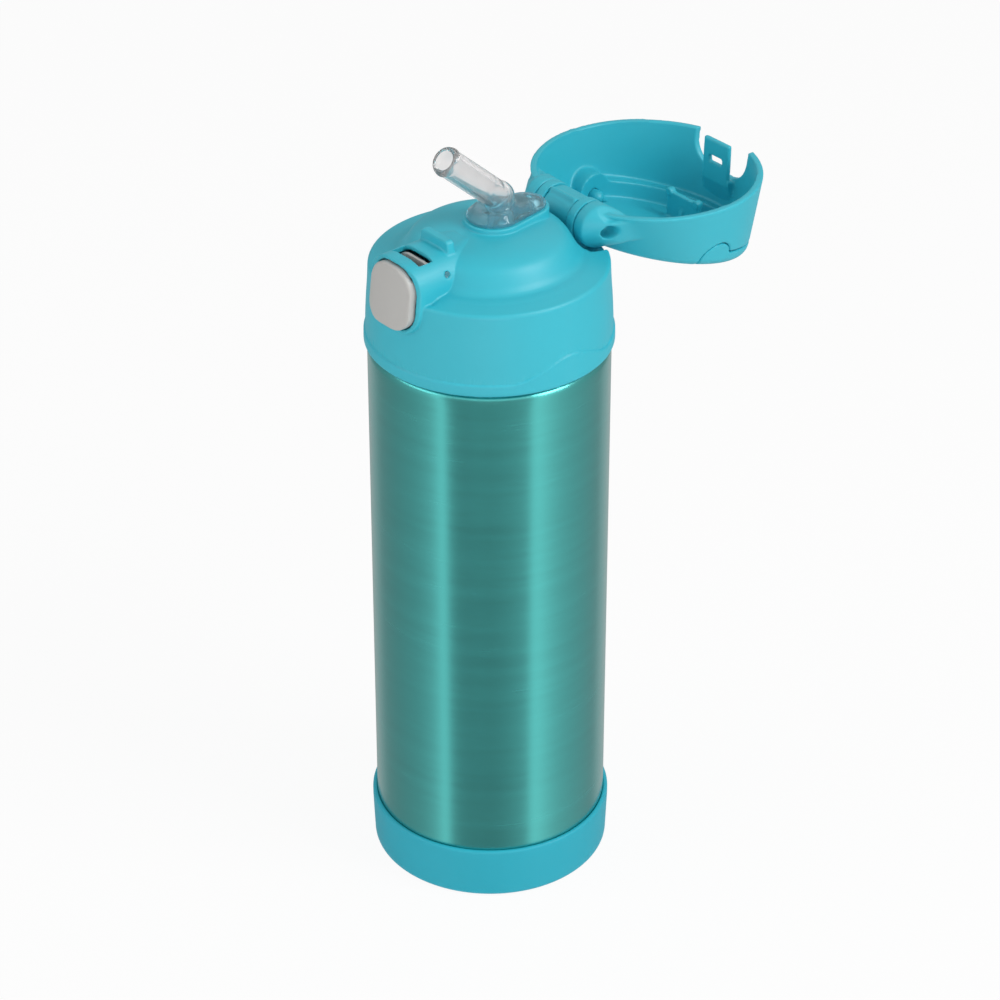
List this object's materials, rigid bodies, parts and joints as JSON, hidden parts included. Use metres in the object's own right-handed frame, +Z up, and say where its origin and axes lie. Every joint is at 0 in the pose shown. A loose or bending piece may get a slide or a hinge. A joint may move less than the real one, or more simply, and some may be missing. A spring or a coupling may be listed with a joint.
{
  "type": "insulated water bottle",
  "caption": "Insulated steel water bottle with a soft base, a screw lid, a push-button flip cover, a folding silicone straw and a carry loop.",
  "frame": {"origin": "middle of the flat bottom face of the base boot, where the bottle stands", "axes": "+Z up along the bottle, -Y to the button at the front, +Y to the hinge of the cover at the back, +X completes the frame"},
  "size_m": [0.0748, 0.1337, 0.2454],
  "materials": {
    "coated_steel": "brushed steel under a clear green-blue coat",
    "plain_steel": "plain satin",
    "foil": "bright foil",
    "trap_metal": "sintered, dull",
    "seal_glass": "dark fused bead",
    "adhesive": "set adhesive",
    "boot_rubber": "soft, satin",
    "seal_rubber": "matt",
    "lid_plastic": "satin moulded",
    "silicone": "clear, glossy",
    "clear_plastic": "translucent",
    "grey_plastic": "satin moulded",
    "pin_steel": "ground",
    "spring_steel": "drawn wire"
  },
  "bodies": {
    "bottle": {"outer_shell": "coated_steel", "inner_liner": "plain_steel", "liner_foil": "foil", "getter": "trap_metal", "shell_bottom": "plain_steel", "vacuum_seal": "seal_glass", "base_adhesive": "adhesive", "base_boot": "boot_rubber"},
    "lid_seal": {"lid_gasket": "seal_rubber"},
    "lid": {"lid_body": "lid_plastic", "mouthpiece_base": "silicone", "straw_stem": "clear_plastic", "button_pin": "pin_steel", "button_spring": "spring_steel"},
    "button": {"latch_button": "grey_plastic"},
    "cover": {"flip_cover": "lid_plastic", "hinge_pin": "pin_steel", "hinge_spring": "spring_steel"},
    "handle": {"carry_handle": "lid_plastic"},
    "straw": {"mouthpiece_tip": "silicone"}
  },
  "joints": [
    {"name": "lid_lift", "type": "slide", "parent": "bottle", "child": "lid_seal", "axis": [0, 0, 1], "range_m": [0, 0.0085]},
    {"name": "lid_turn", "type": "hinge", "parent": "lid_seal", "child": "lid", "pos_m": [0, 0, 0.18], "axis": [0, 0, 1], "range_deg": [0, 612]},
    {"name": "cover_hinge", "type": "hinge", "parent": "lid", "child": "cover", "pos_m": [0, 0.0306, 0.211], "axis": [1, 0, 0], "range_deg": [0, 181], "stiffness_Nm_per_rad": 0.012, "springref_deg": -28.65},
    {"name": "handle_pivot", "type": "hinge", "parent": "cover", "child": "handle", "pos_m": [0, 0.06196, 0.19645], "axis": [-1, 0, 0], "range_deg": [0, 95]},
    {"name": "straw_bend", "type": "hinge", "parent": "lid", "child": "straw", "pos_m": [0, 0.0065, 0.2215], "axis": [1, 0, 0], "range_deg": [0, 42.2], "deforming": ["mouthpiece_tip"]},
    {"name": "button_press", "type": "slide", "parent": "lid", "child": "button", "axis": [0, 1, 0], "range_m": [0, 0.0016], "stiffness_N_per_m": 600, "deforming": ["button_spring"]}
  ],
  "couplings": [
    {"joint": "lid_lift", "follows": "lid_turn", "m_per_rad": 0.00079577},
    {"joint": "straw_bend", "follows": "cover_hinge", "ratio": 0.232}
  ]
}
